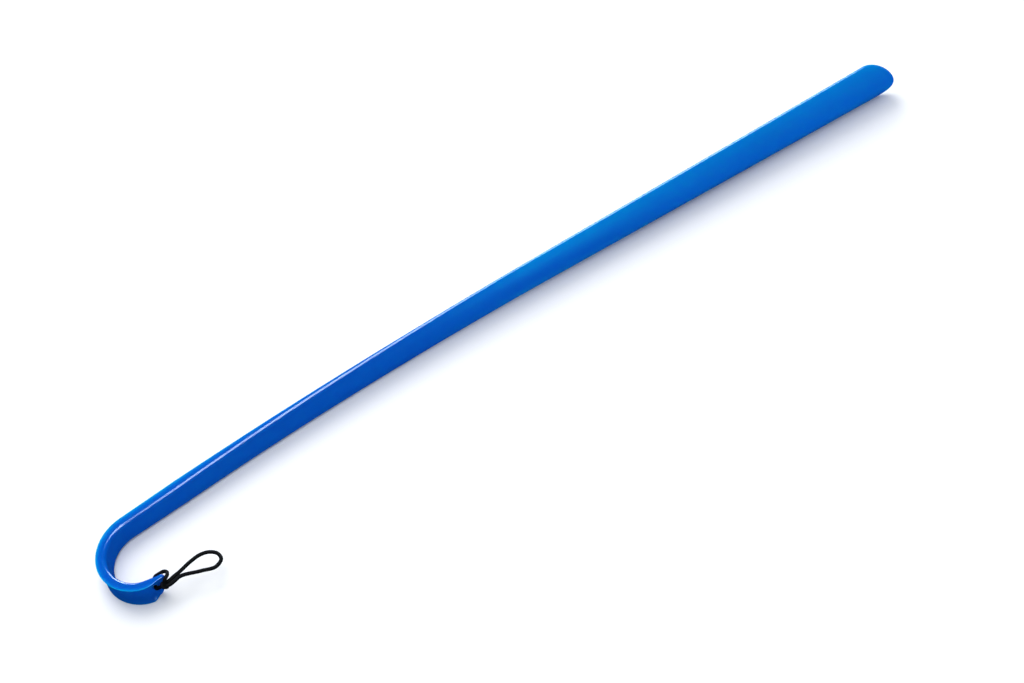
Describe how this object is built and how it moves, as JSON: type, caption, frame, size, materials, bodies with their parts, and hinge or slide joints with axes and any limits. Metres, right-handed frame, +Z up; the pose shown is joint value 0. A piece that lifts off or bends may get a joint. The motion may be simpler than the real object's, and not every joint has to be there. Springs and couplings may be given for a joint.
{
  "type": "long shoehorn",
  "caption": "Long plastic shoehorn: a rounded blade on a slender bowed channel-section shaft that ends in a hook, with a knotted elastic cord loop through the hook's tip.",
  "frame": {"origin": "on the floor, under the middle of the bounding box, with the shoehorn lying on its side", "axes": "+X from the hook to the blade, +Y out of the hollow back of the handle, +Z up, across the width of the strip"},
  "size_m": [0.596, 0.0732, 0.0328],
  "materials": {
    "blue_plastic": "polished, slightly translucent bright blue",
    "black_cord": "round braided elastic cord, dull black"
  },
  "bodies": {
    "root": {"shoehorn": "blue_plastic"},
    "cord_end": {"cord_eye": "black_cord", "cord_knot": "black_cord"},
    "hand_loop": {"cord_loop": "black_cord"}
  },
  "joints": [
    {"name": "cord_swing", "type": "hinge", "parent": "root", "child": "cord_end", "pos_m": [-0.27258, -0.02067, 0.00884], "axis": [-0.2756, -0.9613, -0.0038], "range_deg": [-55, 25], "stiffness_Nm_per_rad": 0.0001},
    {"name": "loop_flop", "type": "hinge", "parent": "cord_end", "child": "hand_loop", "pos_m": [-0.26658, -0.02532, 0.01293], "axis": [0.1045, 0.9945, 0], "range_deg": [-20, 45], "stiffness_Nm_per_rad": 0.0001}
  ]
}
